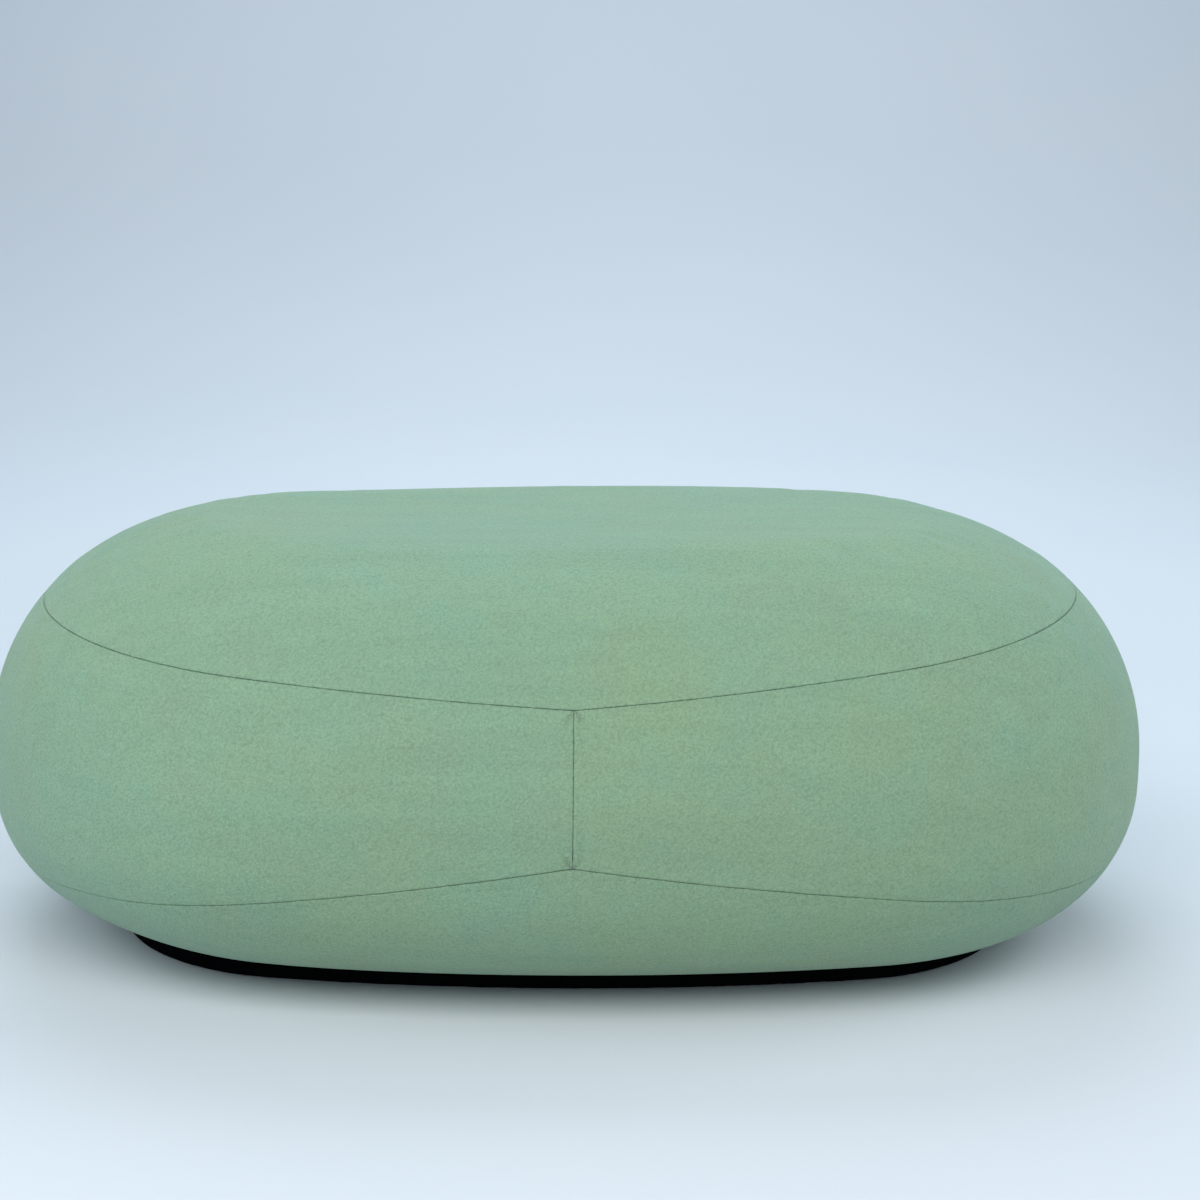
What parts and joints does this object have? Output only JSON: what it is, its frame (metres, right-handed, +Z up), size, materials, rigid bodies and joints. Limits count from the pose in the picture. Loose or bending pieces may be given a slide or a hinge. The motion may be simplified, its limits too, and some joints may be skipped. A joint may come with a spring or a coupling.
{
  "type": "upholstered pouf",
  "caption": "Oval padded pouf with a seamed fabric cover over foam and a wooden frame, on a low black plinth with glides.",
  "frame": {"origin": "on the floor, under the middle of the pouf: the centre of the bottom of its bounding box", "axes": "+X along the length, -Y to the front, +Z up"},
  "size_m": [1.1, 0.66, 0.4],
  "materials": {
    "cover_cloth": "matte fine-grained upholstery cloth",
    "wadding": "white polyester fibre wadding",
    "soft_foam": "soft open-cell polyurethane foam",
    "firm_foam": "firm open-cell polyurethane foam",
    "side_foam": "open-cell polyurethane foam",
    "plywood": "bare birch plywood",
    "timber": "bare planed softwood",
    "hardboard": "smooth brown hardboard",
    "webbing": "woven elastic upholstery webbing",
    "plinth_cloth": "black non-woven cloth",
    "glide_plastic": "black moulded nylon",
    "screw_steel": "yellow zinc-plated steel",
    "staple_steel": "galvanised wire"
  },
  "bodies": {
    "root": {"base_board": "plywood", "base_screws": "screw_steel", "cover_bottom_panel": "cover_cloth", "cover_left_panel": "cover_cloth", "cover_right_panel": "cover_cloth", "cover_staples": "staple_steel", "cover_top_panel": "cover_cloth", "glides": "glide_plastic", "plinth_board": "plywood", "plinth_cloth": "plinth_cloth", "plinth_screws": "screw_steel", "rail_back": "plywood", "rail_front": "plywood", "rail_left": "plywood", "rail_right": "plywood", "rail_screws": "screw_steel", "seat_foam_firm": "firm_foam", "seat_foam_soft": "soft_foam", "side_foam_back": "side_foam", "side_foam_front": "side_foam", "side_foam_left": "side_foam", "side_foam_right": "side_foam", "skin_left": "hardboard", "skin_right": "hardboard", "upright_1": "timber", "upright_2": "timber", "upright_3": "timber", "upright_4": "timber", "upright_5": "timber", "upright_6": "timber", "upright_7": "timber", "upright_8": "timber", "wadding": "wadding", "web_cross_1": "webbing", "web_cross_2": "webbing", "web_cross_3": "webbing", "web_cross_4": "webbing", "web_cross_5": "webbing", "web_cross_6": "webbing", "web_long_1": "webbing", "web_long_2": "webbing"}
  },
  "joints": []
}
